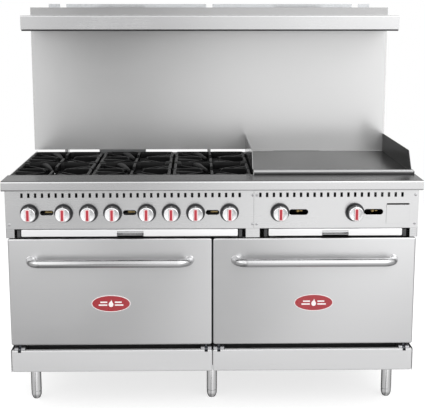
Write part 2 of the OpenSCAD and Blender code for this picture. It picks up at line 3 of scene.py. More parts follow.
import bmesh
import bpy
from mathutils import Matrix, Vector


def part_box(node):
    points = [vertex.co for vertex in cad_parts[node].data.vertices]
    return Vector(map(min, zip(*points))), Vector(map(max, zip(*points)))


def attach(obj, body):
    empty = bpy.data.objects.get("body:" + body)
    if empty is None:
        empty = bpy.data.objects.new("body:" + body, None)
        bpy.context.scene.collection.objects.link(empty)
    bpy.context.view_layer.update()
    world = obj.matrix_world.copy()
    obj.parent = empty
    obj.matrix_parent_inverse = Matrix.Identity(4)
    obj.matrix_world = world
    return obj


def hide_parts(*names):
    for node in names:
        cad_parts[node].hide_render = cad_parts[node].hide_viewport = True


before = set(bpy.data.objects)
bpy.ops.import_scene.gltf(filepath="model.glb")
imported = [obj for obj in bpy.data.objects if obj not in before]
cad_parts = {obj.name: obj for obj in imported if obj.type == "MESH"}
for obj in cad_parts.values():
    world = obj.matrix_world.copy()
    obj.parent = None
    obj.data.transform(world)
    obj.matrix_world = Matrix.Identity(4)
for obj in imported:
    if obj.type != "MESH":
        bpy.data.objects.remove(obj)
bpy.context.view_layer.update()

# Looks of the commercial gas range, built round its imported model.
# Lengths are in metres, +X is to the right, +Y to the back and +Z up.

MM = 0.001
ROOT = "range_frame"
SIDES = ("left", "right")


# ---- shader helpers

class Nodes:
    """The nodes of one material or of the world."""

    def __init__(self, tree):
        self.tree = tree

    def node(self, kind, **settings):
        made = self.tree.nodes.new(kind)
        for key, value in settings.items():
            setattr(made, key, value)
        return made

    def link(self, output, target):
        self.tree.links.new(output, target)

    def remap(self, value, low, high, start=0.0, end=1.0):
        """Value from low..high taken to start..end."""
        node = self.node("ShaderNodeMapRange")
        for key, number in zip(("From Min", "From Max", "To Min", "To Max"), (low, high, start, end)):
            node.inputs[key].default_value = number
        self.link(value, node.inputs["Value"])
        return node.outputs["Result"]

    def combine(self, operation, a, b):
        """Arithmetic on two values, each an output or a number."""
        node = self.node("ShaderNodeMath", operation=operation)
        for socket, value in zip(node.inputs, (a, b)):
            if isinstance(value, (int, float)):
                socket.default_value = value
            else:
                self.link(value, socket)
        return node.outputs["Value"]

    def part(self, vector, axis):
        """The X, Y or Z of a vector."""
        node = self.node("ShaderNodeSeparateXYZ")
        self.link(vector, node.inputs[0])
        return node.outputs[axis]


class Shader(Nodes):
    """One procedural material: a Principled shader and the nodes that feed it."""

    def __init__(self, name):
        self.material = bpy.data.materials.new(name)
        self.material.use_nodes = True
        super().__init__(self.material.node_tree)
        self.bsdf = self.tree.nodes["Principled BSDF"]
        places = self.node("ShaderNodeTexCoord")
        self.coords, self.normals = places.outputs["Object"], places.outputs["Normal"]

    def set(self, **values):
        """Constants of the shader, by socket name with _ for a space."""
        for key, value in values.items():
            self.bsdf.inputs[key.replace("_", " ")].default_value = value

    def noise(self, scale, detail=3.0, roughness=0.5):
        """Noise in features per metre: one number, or one each for X, Y and Z."""
        mapping = self.node("ShaderNodeMapping")
        mapping.inputs["Scale"].default_value = scale if isinstance(scale, tuple) else (scale,) * 3
        self.link(self.coords, mapping.inputs["Vector"])
        texture = self.node("ShaderNodeTexNoise")
        for key, value in (("Scale", 1.0), ("Detail", detail), ("Roughness", roughness)):
            texture.inputs[key].default_value = value
        self.link(mapping.outputs["Vector"], texture.inputs["Vector"])
        return texture.outputs["Fac"]

    def cells(self, scale):
        """Distance to the nearest point of a random scatter."""
        texture = self.node("ShaderNodeTexVoronoi")
        texture.inputs["Scale"].default_value = scale
        self.link(self.coords, texture.inputs["Vector"])
        return texture.outputs["Distance"]

    def blend(self, factor, first, second):
        """Colour that goes from first to second with factor."""
        node = self.node("ShaderNodeMix", data_type="RGBA")
        self.link(factor, node.inputs["Factor"])
        for socket, colour in ((node.inputs[6], first), (node.inputs[7], second)):
            if isinstance(colour, tuple):
                socket.default_value = (*colour, 1.0)
            else:
                self.link(colour, socket)
        return node.outputs[2]

    def bump(self, height, depth):
        node = self.node("ShaderNodeBump")
        node.inputs["Distance"].default_value = depth
        self.link(height, node.inputs["Height"])
        self.link(node.outputs["Normal"], self.bsdf.inputs["Normal"])

    def base(self, colour):
        self.link(colour, self.bsdf.inputs["Base Color"])

    def rough(self, value):
        self.link(value, self.bsdf.inputs["Roughness"])


def shade(colour, amount):
    """A colour made lighter or darker by a factor."""
    return tuple(min(1.0, c * amount) for c in colour)


def drawn(along, length, width):
    """Scale of a noise that is stretched along one axis."""
    return tuple(length if axis == along else width for axis in "XYZ")


def brushed(name, colour, roughness, along="X", tangent=None, painted_side_shade=None, metal=1.0, shade_above=None, glance=1.0,
            streak=0.2):
    """Brushed stainless steel: long fine grain, very soft bands, wipe marks and a few hairlines.

    painted_side_shade is (side, amount): painted shade, faces that look up (1) or down (-1) are drawn darker
    by amount.
    metal below 1 stands for a satin finish that scatters part of the light.
    shade_above is (height, amount): painted shade, the sheet is drawn darker by amount above a height.
    glance is the brightness of its reflections at a low angle.
    streak is how far reflections smear across the grain.
    """
    s = Shader(name)
    grain = s.noise(drawn(along, 5.0, 900.0), detail=2.0, roughness=0.6)
    band = s.noise(drawn(along, 0.7, 60.0), detail=2.0)
    wipes = s.noise(3.0, detail=4.0, roughness=0.6)
    fine = s.blend(grain, shade(colour, 0.985), shade(colour, 1.015))
    hairline = s.combine("MULTIPLY", s.remap(grain, 0.70, 0.78), s.remap(wipes, 0.5, 0.65))
    scratched = s.blend(s.combine("MULTIPLY", hairline, 0.10), fine, shade(colour, 1.25))
    soiled = s.node("ShaderNodeMix", data_type="RGBA", blend_type="MULTIPLY")
    soiled.inputs["Factor"].default_value = 1.0
    s.link(scratched, soiled.inputs[6])
    s.link(s.blend(s.remap(wipes, 0.25, 0.75), (0.98,) * 3, (1.0,) * 3), soiled.inputs[7])
    finish = soiled.outputs[2]
    # Painted shade: faces that look up or down are drawn darker
    if painted_side_shade:
        level = s.remap(s.part(s.normals, "Z"), 0.5 * painted_side_shade[0], 0.95 * painted_side_shade[0])
        finish = s.blend(level, finish, shade(colour, 1.0 - painted_side_shade[1]))
    # Painted shade: the sheet is drawn darker above the given height
    if shade_above:
        over = s.remap(s.part(s.coords, "Z"), shade_above[0] - 4 * MM, shade_above[0] + 4 * MM)
        finish = s.blend(over, finish, shade(colour, 1.0 - shade_above[1]))
    s.base(finish)
    uneven = s.combine("ADD", s.remap(grain, 0.2, 0.8, -0.012, 0.012),
                       s.remap(wipes, 0.3, 0.7, -0.012, 0.018))
    s.rough(s.combine("ADD", s.combine("ADD", uneven, s.remap(band, 0.3, 0.7, -0.005, 0.005)), roughness))
    s.bump(grain, 0.000002)
    s.set(Metallic=metal, Specular_Tint=(glance, glance, glance, 1.0))
    if tangent:
        s.set(Anisotropic=streak, Anisotropic_Rotation=0.25)
        direction = s.node("ShaderNodeTangent", direction_type="RADIAL", axis=tangent)
        s.link(direction.outputs["Tangent"], s.bsdf.inputs["Tangent"])
    return s.material


def spangled(name, colour, roughness, stain_and_shade=0.0):
    """Dull aluminised or galvanised sheet with its mottled crystals.

    stain_and_shade is painted shade: how much darker the faces that look to the front are drawn.
    """
    s = Shader(name)
    crystals = s.cells(90.0)
    cloud = s.noise(12.0, detail=4.0)
    tone = s.blend(s.remap(crystals, 0.0, 0.8), shade(colour, 0.86), shade(colour, 1.08))
    finish = s.blend(s.remap(cloud, 0.3, 0.75), tone, colour)
    # Painted shade: the faces that look to the front are drawn darker
    if stain_and_shade:
        facing = s.remap(s.part(s.normals, "Y"), -0.5, -0.95)
        finish = s.blend(facing, finish, shade(colour, 1.0 - stain_and_shade))
    s.base(finish)
    s.rough(s.remap(crystals, 0.0, 0.8, roughness - 0.07, roughness + 0.1))
    s.bump(s.noise(300.0), 0.00006)
    s.set(Metallic=1.0)
    return s.material


def enamel(name, colour, speckle, roughness, coat=0.5):
    """Porcelain enamel with fine pale speckles and a slightly rippled glaze."""
    s = Shader(name)
    dots = s.remap(s.cells(420.0), 0.10, 0.16, 1.0, 0.0)
    sparse = s.remap(s.noise(160.0), 0.52, 0.6)
    s.base(s.blend(s.combine("MULTIPLY", dots, sparse), colour, speckle))
    stain_and_shade = s.noise(9.0, detail=5.0, roughness=0.65)
    s.rough(s.remap(stain_and_shade, 0.3, 0.7, roughness - 0.06, roughness + 0.12))
    s.bump(s.noise(60.0, detail=2.0), 0.0001)
    s.set(Coat_Weight=coat, Coat_Roughness=0.15)
    return s.material


def painted(name, colour, roughness):
    """Heat-resistant paint with orange peel, dust and rubbed spots."""
    s = Shader(name)
    dust = s.noise(25.0, detail=5.0, roughness=0.7)
    s.base(s.blend(s.remap(dust, 0.42, 0.75), colour, tuple(c * 0.6 + 0.04 for c in colour)))
    s.rough(s.remap(dust, 0.3, 0.7, roughness - 0.05, roughness + 0.12))
    s.bump(s.noise(520.0, detail=2.0), 0.00012)
    return s.material


def cast(name, colour, roughness, polish=0.5, sheen=0.4):
    """Sand-cast iron: pitted skin, seasoning patches and edges rubbed brighter."""
    s = Shader(name)
    sand = s.noise(850.0, detail=3.0, roughness=0.7)
    lumps = s.noise(110.0, detail=3.0)
    patches = s.noise(22.0, detail=4.0, roughness=0.6)
    rubbed = s.node("ShaderNodeNewGeometry").outputs["Pointiness"]
    tone = s.blend(s.remap(patches, 0.3, 0.7), shade(colour, 0.7), shade(colour, 1.35))
    edge = s.combine("MULTIPLY", s.remap(rubbed, 0.52, 0.62), s.remap(patches, 0.35, 0.65, 0.2, 0.8))
    s.base(s.blend(edge, tone, tuple(c * 2.0 + 0.008 for c in colour)))
    s.rough(s.combine("SUBTRACT", s.remap(sand, 0.2, 0.8, roughness - 0.08, roughness + 0.14),
                      s.combine("MULTIPLY", edge, 0.12)))
    s.bump(s.combine("ADD", s.remap(sand, 0.0, 1.0, 0.0, 0.35), s.remap(lumps, 0.0, 1.0, 0.0, 0.65)), 0.0005)
    s.set(Metallic=polish, Specular_IOR_Level=sheen)
    return s.material


def ground_plate(name, colour, roughness):
    """Ground steel griddle plate: grinding lines, heat tint and faint scraper marks."""
    s = Shader(name)
    lines = s.noise((3.0, 450.0, 450.0), detail=3.0, roughness=0.65)
    scraper = s.noise((70.0, 2.5, 30.0), detail=2.0)
    heat = s.noise(5.0, detail=3.0)
    steel = s.blend(lines, shade(colour, 0.96), shade(colour, 1.03))
    warm = (colour[0] * 1.02, colour[1] * 0.98, colour[2] * 0.92)
    tinted = s.blend(s.remap(heat, 0.45, 0.7, 0.0, 0.5), steel, warm)
    s.base(s.blend(s.remap(scraper, 0.62, 0.75, 0.0, 0.2), tinted, shade(colour, 0.9)))
    s.rough(s.combine("ADD", s.remap(lines, 0.2, 0.8, -0.02, 0.02),
                      s.remap(heat, 0.3, 0.7, roughness - 0.02, roughness + 0.03)))
    s.bump(lines, 0.00002)
    s.set(Metallic=1.0, Specular_Tint=(0.7, 0.7, 0.7, 1.0))
    return s.material


def plated(name, colour, roughness, soil=0.1):
    """Plated or machined metal with fine turning marks and a little tarnish."""
    s = Shader(name)
    marks = s.noise(900.0, detail=2.0)
    tarnish = s.noise(45.0, detail=4.0, roughness=0.65)
    s.base(s.blend(s.remap(tarnish, 0.45, 0.8), colour, shade(colour, 1.0 - soil * 2)))
    s.rough(s.combine("ADD", s.remap(tarnish, 0.3, 0.7, roughness - 0.03, roughness + 0.1),
                      s.remap(marks, 0.2, 0.8, -0.03, 0.03)))
    s.bump(marks, 0.00003)
    s.set(Metallic=1.0)
    return s.material


def gloss(name, colour, roughness, coat=0.6):
    """Gloss lacquer or enamel on a small part, with fine ripples and handling marks."""
    s = Shader(name)
    marks = s.noise(60.0, detail=4.0, roughness=0.6)
    s.base(s.blend(s.remap(marks, 0.35, 0.75), colour, shade(colour, 0.86)))
    s.rough(s.remap(marks, 0.3, 0.7, roughness - 0.05, roughness + 0.08))
    s.bump(s.noise(240.0, detail=2.0), 0.00006)
    s.set(Coat_Weight=coat, Coat_Roughness=0.08)
    return s.material


def fibrous(name, colour):
    """Mineral wool: layered fibres in clumps."""
    s = Shader(name)
    layers = s.noise((20.0, 60.0, 420.0), detail=5.0, roughness=0.7)
    clumps = s.noise(45.0, detail=5.0, roughness=0.7)
    s.base(s.blend(s.remap(layers, 0.3, 0.7), shade(colour, 0.72), shade(colour, 1.12)))
    s.rough(s.remap(clumps, 0.0, 1.0, 0.85, 1.0))
    s.bump(s.combine("ADD", layers, clumps), 0.002)
    s.set(Sheen_Weight=0.2)
    return s.material


paint = {
    "stainless": brushed("brushed_stainless", (0.62, 0.62, 0.625), 0.28, tangent="Z"),
    # Painted shade: the underside of the shelf is drawn darker
    "stainless_shelf": brushed("brushed_shelf", (0.60, 0.60, 0.605), 0.26, tangent="Z", painted_side_shade=(-1, 0.85)),
    # Painted shadow: near black for the hem under the shelf's lip
    "shelf_hem_painted_shadow": brushed("shelf_hem_shadow_paint", (0.035, 0.035, 0.036), 0.3),
    "stainless_front": brushed("brushed_front", (0.67, 0.67, 0.675), 0.26, tangent="Z"),
    # Painted shade: the top of the rail's ledge is drawn darker
    "stainless_rail": brushed("brushed_rail", (0.64, 0.64, 0.645), 0.24, tangent="Z", painted_side_shade=(1, 0.74),
                              glance=0.68),
    "stainless_kick": brushed("brushed_kick", (0.57, 0.57, 0.575), 0.45, metal=0.5),
    "stainless_door": brushed("brushed_door", (0.60, 0.60, 0.605), 0.30, tangent="Z", streak=0.6),
    # Painted shade: the backguard is drawn darker above the high shelf
    "stainless_backguard": brushed("brushed_backguard", (0.64, 0.64, 0.64), 0.20, tangent="Z", metal=0.6,
                                   streak=0.5, shade_above=(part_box("high_shelf")[1].z, 0.36)),
    "galvanised": spangled("aluminised_sheet", (0.50, 0.51, 0.52), 0.42),
    # Painted shade: the rear panel and flue risers have their front-facing faces drawn darker, and the risers
    # are a darker copy of the aluminised sheet
    "rear_sheet": spangled("rear_sheet", (0.50, 0.51, 0.52), 0.42, stain_and_shade=0.85),
    "riser_sheet": spangled("riser_sheet", (0.30, 0.305, 0.31), 0.42, stain_and_shade=0.4),
    "painted_frame": painted("frame_paint", (0.035, 0.035, 0.038), 0.5),
    "leg_steel": brushed("polished_leg", (0.65, 0.65, 0.655), 0.16, along="Z"),
    "oven_face": enamel("oven_face_enamel", (0.006, 0.006, 0.007), (0.03, 0.03, 0.033), 0.5, coat=0.1),
    "oven_enamel": enamel("oven_enamel", (0.018, 0.022, 0.032), (0.35, 0.36, 0.40), 0.3),
    "hinge_steel": plated("hinge_steel", (0.30, 0.30, 0.31), 0.38),
    "rack_chrome": plated("rack_nickel", (0.66, 0.65, 0.64), 0.2),
    # Painted shade: the insulation is drawn near black so the inside of the body reads as shade
    "insulation": fibrous("mineral_wool_painted_shade", (0.014, 0.014, 0.014)),
    "screw_steel": plated("screw_steel", (0.5, 0.5, 0.51), 0.28),
    "dial_grey": plated("dial_ring", (0.10, 0.10, 0.105), 0.34),
    "dial_lip": plated("dial_lip", (0.28, 0.28, 0.285), 0.3),
    # Painted shade: the crumb tray pan is drawn dark so the vent slots above it read dark
    "pan_sheet_painted_shade": spangled("tray_pan_painted_shade", (0.13, 0.13, 0.135), 0.45),
    "black_pipe": painted("pipe_black", (0.022, 0.022, 0.024), 0.42),
    "tap_brass": plated("tap_brass", (0.34, 0.25, 0.11), 0.4, soil=0.2),
    "burner_frame": painted("burner_frame_enamel", (0.012, 0.012, 0.013), 0.45),
    "burner_iron": cast("burner_iron", (0.030, 0.030, 0.030), 0.62),
    "cast_iron": cast("grate_iron", (0.004, 0.004, 0.0042), 0.40, polish=0.0, sheen=0.1),
    "griddle_steel": ground_plate("griddle_plate_steel", (0.10, 0.10, 0.10), 0.24),
    # Painted shade: the right splash is drawn far darker than the left one of the same steel
    "splash_left_steel": brushed("splash_left_steel", (0.42, 0.42, 0.422), 0.2, along="Y"),
    "splash_right_steel": brushed("splash_right_steel", (0.05, 0.05, 0.051), 0.3, along="Y", glance=0.78),
    "trough_steel": brushed("trough_steel", (0.40, 0.40, 0.403), 0.34, metal=0.55),
    "pull_steel": brushed("pull_steel", (0.36, 0.36, 0.365), 0.26),
    "door_inner": enamel("door_inner_enamel", (0.018, 0.022, 0.032), (0.35, 0.36, 0.40), 0.3),
    "handle_steel": brushed("polished_handle", (0.50, 0.50, 0.505), 0.17),
    "badge_red": gloss("badge_enamel", (0.31, 0.006, 0.014), 0.3),
    "badge_pale": gloss("badge_rim", (0.82, 0.76, 0.76), 0.35, coat=0.3),
    "tray_steel": brushed("tray_steel", (0.87, 0.87, 0.875), 0.36, metal=0.7),
    "knob_metal": plated("knob_satin_chrome", (0.86, 0.86, 0.87), 0.22, soil=0.04),
    # Painted shade: the knob's side is drawn near black
    "knob_side_painted_shade": plated("knob_side_dark_paint", (0.085, 0.085, 0.088), 0.3),
    "pointer_red": gloss("pointer_red", (0.40, 0.015, 0.03), 0.35, coat=0.2),
    "pointer_pale": gloss("pointer_border", (0.80, 0.55, 0.56), 0.35, coat=0.3),
}


# ---- mesh helpers

def add_object(name, data, place=(0, 0, 0)):
    obj = bpy.data.objects.new(name, data)
    bpy.context.scene.collection.objects.link(obj)
    obj.location = place
    return obj


def mesh_object(name, bm, *materials, angle=35):
    """Puts a finished bmesh in the scene, shaded smooth up to the given angle."""
    bmesh.ops.recalc_face_normals(bm, faces=bm.faces)
    mesh = bpy.data.meshes.new(name)
    bm.to_mesh(mesh)
    bm.free()
    for m in materials:
        mesh.materials.append(paint[m])
    soften(mesh, angle)
    return add_object(name, mesh)


def soften(mesh, angle):
    mesh.shade_smooth()
    mesh.set_sharp_from_angle(angle=math.radians(angle))


def apply_modifiers(obj, angle=35):
    """Replaces the object's own mesh by its shape after its modifiers."""
    graph = bpy.context.evaluated_depsgraph_get()
    mesh = bpy.data.meshes.new_from_object(obj.evaluated_get(graph))
    obj.modifiers.clear()
    obj.data = mesh
    soften(mesh, angle)


def install(obj, body, slot, *nodes):
    """Ties a piece to its body and hides the CAD nodes that it stands for; the slot is not used."""
    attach(obj, body)
    if nodes:
        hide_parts(*nodes)
    return obj


def add_box(bm, low, high, edge=0.4 * MM, material=0):
    """A block from its lowest to its highest corner, with rounded edges."""
    low, high = Vector(low), Vector(high)
    made = bmesh.ops.create_cube(bm, size=1.0)["verts"]
    for v in made:
        v.co = Vector((low[i] + (v.co[i] + 0.5) * (high[i] - low[i]) for i in range(3)))
    faces = {f for v in made for f in v.link_faces}
    for f in faces:
        f.material_index = material
    if edge > 0:
        edges = list({e for v in made for e in v.link_edges})
        done = bmesh.ops.bevel(bm, geom=edges, offset=edge, segments=2, affect="EDGES", profile=0.5)
        for f in done["faces"]:
            f.material_index = material


def add_rings(bm, rings, capped=True, material=0):
    """Skins a list of closed rings of points with quads, and may close its ends."""
    rows = [[bm.verts.new(p) for p in ring] for ring in rings]
    for a, b in zip(rows, rows[1:]):
        for i in range(len(a)):
            j = (i + 1) % len(a)
            bm.faces.new((a[i], a[j], b[j], b[i])).material_index = material
    if capped:
        for row in (rows[0], rows[-1]):
            bm.faces.new(row).material_index = material


def circle(sides):
    """Cosine and sine at even steps round a circle."""
    return [(math.cos(a), math.sin(a)) for a in (2 * math.pi * k / sides for k in range(sides))]


def turned(radius, height, *steps):
    """Outline in steps of mm from a radius, or an X, and a height in metres."""
    return [(radius + r * MM, height + h * MM) for r, h in steps]


def add_lathe(bm, outline, centre, axis, sides=48):
    """Turns (radius, height) pairs round an axis: Z up, or Y towards the back."""
    centre = Vector(centre)
    add_rings(bm, [[centre + Vector((r * c, r * s, h) if axis == "Z" else (r * c, h, r * s))
                    for c, s in circle(sides)] for r, h in outline])


def add_tube(bm, path, radius, sides):
    """A round tube along a path of points, with closed ends."""
    points = [Vector(p) for p in path]
    rings, side = [], None
    for i, p in enumerate(points):
        ahead = (points[min(i + 1, len(points) - 1)] - points[max(i - 1, 0)]).normalized()
        if side is None:
            side = ahead.orthogonal().normalized()
        side = (side - ahead * side.dot(ahead)).normalized()
        other = ahead.cross(side)
        rings.append([p + (side * c + other * s) * radius for c, s in circle(sides)])
    add_rings(bm, rings)


def rounded_outline(x, z, radius):
    """Closed outline of a rectangle in X and Z with rounded corners."""
    points, steps = [], 6
    for cx, cz, start in ((x[1] - radius, z[1] - radius, 0), (x[0] + radius, z[1] - radius, 90),
                          (x[0] + radius, z[0] + radius, 180), (x[1] - radius, z[0] + radius, 270)):
        for k in range(steps + 1):
            a = math.radians(start + 90 * k / steps)
            points.append((cx + radius * math.cos(a), cz + radius * math.sin(a)))
    return points


def add_folded_panel(bm, x, y, z, edge, sheet):
    """Sheet-metal panel folded back on all four sides, open at the rear, as one closed shell."""
    corner = 2 * MM

    def ring(inset, depth):
        outline = rounded_outline((x[0] + inset, x[1] - inset), (z[0] + inset, z[1] - inset),
                                  corner + (edge - inset))
        return [Vector((px, y[0] + depth, pz)) for px, pz in outline]

    steps = 5
    turn = [math.radians(90 * k / steps) for k in range(steps + 1)]
    fold, depth = edge - sheet, y[1] - y[0]
    outer = [ring(edge * (1 - math.sin(a)), edge * (1 - math.cos(a))) for a in turn]
    inner = [ring(edge - fold * math.sin(a), edge - fold * math.cos(a)) for a in reversed(turn)]
    add_rings(bm, outer + [ring(0, depth), ring(sheet, depth)] + inner)


def add_sheet(bm, line, sheet, x):
    """Folded sheet: a line of (Y, Z) points given thickness and run along X."""
    pts = [Vector((0, p[0], p[1])) for p in line]
    left, right = [], []
    for i, p in enumerate(pts):
        before = (p - pts[i - 1]).normalized() if i else (pts[1] - p).normalized()
        after = (pts[i + 1] - p).normalized() if i + 1 < len(pts) else before
        normal = Vector((0, -(before.z + after.z), before.y + after.y)).normalized()
        across = Vector((0, -before.z, before.y))
        offset = normal * (sheet / 2 / max(0.3, normal.dot(across)))
        left.append(p + offset)
        right.append(p - offset)
    outline = left + right[::-1]
    add_rings(bm, [[Vector((xx, q.y, q.z)) for q in outline] for xx in x])


def arc(centre, radius, start, end, steps):
    """Points on an arc in a plane, from start to end degrees."""
    angles = [math.radians(start + (end - start) * k / steps) for k in range(steps + 1)]
    return [(centre[0] + radius * math.cos(a), centre[1] + radius * math.sin(a)) for a in angles]


def cut_boxes(obj, boxes):
    """Takes blocks that don't overlap out of a piece."""
    bm = bmesh.new()
    for low, high in boxes:
        add_box(bm, low, high, edge=0)
    cutter = mesh_object("cutter", bm)
    cut = obj.modifiers.new("cut", "BOOLEAN")
    cut.operation, cut.solver, cut.object = "DIFFERENCE", "EXACT", cutter
    apply_modifiers(obj)
    bpy.data.objects.remove(cutter)


# ---- CAD nodes that keep their shape

def dress(node, material):
    """Gives a CAD node its finish, and breaks its sharp edges."""
    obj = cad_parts[node]
    for s in obj.material_slots:
        s.material = paint[material]
    weld = obj.modifiers.new("weld", "WELD")
    weld.merge_threshold = 0.01 * MM
    bevel = obj.modifiers.new("edges", "BEVEL")
    bevel.width, bevel.segments, bevel.limit_method = 0.5 * MM, 2, "ANGLE"
    bevel.angle_limit = math.radians(40)
    normals = obj.modifiers.new("normals", "WEIGHTED_NORMAL")
    normals.keep_sharp = False


KEPT = {
    "painted_frame": ("base_frame", "tray_runners"),
    "stainless": ("side_panels", "shelf_brackets"),
    "stainless_front": ("centre_partition", "control_panel_left", "control_panel_right", "grease_drawer"),
    "burner_iron": ("oven_burners", "burner_bodies", "griddle_burners"),
    "door_inner": ("door_liner_left", "door_liner_right"),
    "rear_sheet": ("rear_panel",), "riser_sheet": ("flue_risers",), "galvanised": ("backguard_rear",),
    "oven_face": ("oven_front_frame",), "oven_enamel": ("oven_liners",), "hinge_steel": ("hinge_brackets",),
    "rack_chrome": ("rack_guides",), "insulation": ("oven_insulation",), "black_pipe": ("gas_manifold",),
    "tap_brass": ("gas_valves",), "burner_frame": ("burner_box",), "griddle_steel": ("griddle_plate",),
    "stainless_backguard": ("backguard_front",), "stainless_shelf": ("high_shelf",),
    "stainless_rail": ("front_rail",),
}

for kept_finish, kept_nodes in KEPT.items():
    for kept_node in kept_nodes:
        dress(kept_node, kept_finish)


def centre_of(node):
    low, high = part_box(node)
    return (low + high) / 2


# ---- doors, handles and badges

def bracket_centres():
    """X of the four hinge brackets: one at each end, and a pair at the middle."""
    low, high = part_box("hinge_brackets")
    end, pair = 20 * MM, 24 * MM
    return (low.x + end, -pair, pair, high.x - end)


def door_skin(side):
    node = f"door_skin_{side}"
    low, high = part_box(node)
    bm = bmesh.new()
    add_folded_panel(bm, (low.x, high.x), (low.y, high.y), (low.z, high.z), edge=6 * MM, sheet=1.5 * MM)
    obj = mesh_object(f"door_{side}_skin", bm, "stainless_door")
    notch = 6.5 * MM
    cut_boxes(obj, [((c - notch, low.y + 8 * MM, low.z - MM), (c + notch, high.y + MM, low.z + 2 * MM))
                    for c in bracket_centres() if low.x < c < high.x])
    install(obj, f"door_{side}", "stainless_door", node)


def door_handle(side):
    """Tube with swept bends and a small weld collar where each end meets the door."""
    node = f"door_handle_{side}"
    low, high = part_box(node)
    radius = (high.z - low.z) / 2
    corner = 44 * MM
    middle = (low.z + high.z) / 2
    bar = low.y + radius
    ends = (low.x + radius, high.x - radius)
    path = [(ends[0], high.y)] + arc((ends[0] + corner, bar + corner), corner, 180, 270, 12)
    path += arc((ends[1] - corner, bar + corner), corner, 270, 360, 12) + [(ends[1], high.y)]
    bm = bmesh.new()
    add_tube(bm, [(x, y, middle) for x, y in path], radius, sides=32)
    collar = turned(radius, 0, (0, -5), (1.6, -4), (1.9, -1.5), (1.9, 0))
    for x in ends:
        add_lathe(bm, collar, (x, high.y, middle), "Y", 32)
    install(mesh_object(f"door_{side}_handle", bm, "handle_steel"), f"door_{side}", "handle_steel", node)


def add_oval(bm, centre, layers, material):
    """Stack of ellipses (width, height, y), skinned and capped."""
    add_rings(bm, [[Vector((centre.x + w / 2 * c, y, centre.z + h / 2 * s)) for c, s in circle(64)]
                   for w, h, y in layers], material=material)


def door_badge(side):
    """Domed red oval inside a pale rim, with a plain flame between two pairs of bars."""
    node = f"door_badge_{side}"
    low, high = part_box(node)
    centre = (low + high) / 2
    width, height = high.x - low.x, high.z - low.z
    face = low.y
    bm = bmesh.new()

    def layer(inset, depth):
        return width - inset * MM, height - inset * MM, face + depth * MM

    add_oval(bm, centre, [(width, height, high.y), layer(0, 1.2), layer(1.2, 0.5), layer(3.4, 0.4),
                          layer(4.4, 0.9)], 1)
    add_oval(bm, centre, [layer(5, 2), layer(5, 0.9), layer(12, 0.7),
                          (width - 40 * MM, height - 30 * MM, face + 0.6 * MM)], 0)
    bar_h, gap, reach = 5.5 * MM, 14 * MM, 46 * MM
    for sign in (-1, 1):
        for level in (-1, 1):
            x = sorted((centre.x + sign * gap, centre.x + sign * (reach - (level + 1) * 3 * MM)))
            z = centre.z + level * 5.5 * MM
            add_box(bm, (x[0], face + 0.1 * MM, z - bar_h / 2), (x[1], face + MM, z + bar_h / 2), material=1)
    flame = turned(centre.x, centre.z, (0, -13), (6, -11), (9, -5), (8, 1), (5, 5), (4, 9), (1, 15), (-1, 9),
                   (-5, 6), (-8, 1), (-9, -5), (-6, -11))
    add_rings(bm, [[Vector((x, y, z)) for x, z in flame] for y in (face + MM, face + 0.1 * MM)], material=1)
    badge = mesh_object(f"door_{side}_badge", bm, "badge_red", "badge_pale")
    install(badge, f"door_{side}", "badge_red", node)


for door_side in SIDES:
    door_skin(door_side)
    door_handle(door_side)
    door_badge(door_side)


# ---- kick panels

def kick_panels():
    """Folded panels, notched at the top where the hinge hooks swing down."""
    low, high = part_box("kick_panels")
    gap = 1 * MM
    bm = bmesh.new()
    for x in ((low.x, -gap), (gap, high.x)):
        add_folded_panel(bm, x, (low.y, high.y), (low.z, high.z), 5 * MM, 2 * MM)
    obj = mesh_object("kick_panel_pair", bm, "stainless_kick")
    ear, hook = 22 * MM, 6 * MM
    for half, start, drop in ((ear, 2.5 * MM, 22 * MM), (hook, -MM, 9 * MM)):
        cut_boxes(obj, [((c - half, low.y + start, high.z - drop), (c + half, high.y + MM, high.z + MM))
                        for c in bracket_centres()])
    install(obj, ROOT, "stainless_front", "kick_panels")


kick_panels()


# ---- knobs and dial rings

KNOBS = sorted(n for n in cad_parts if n.startswith("knob_") and n != "knob_bezels")


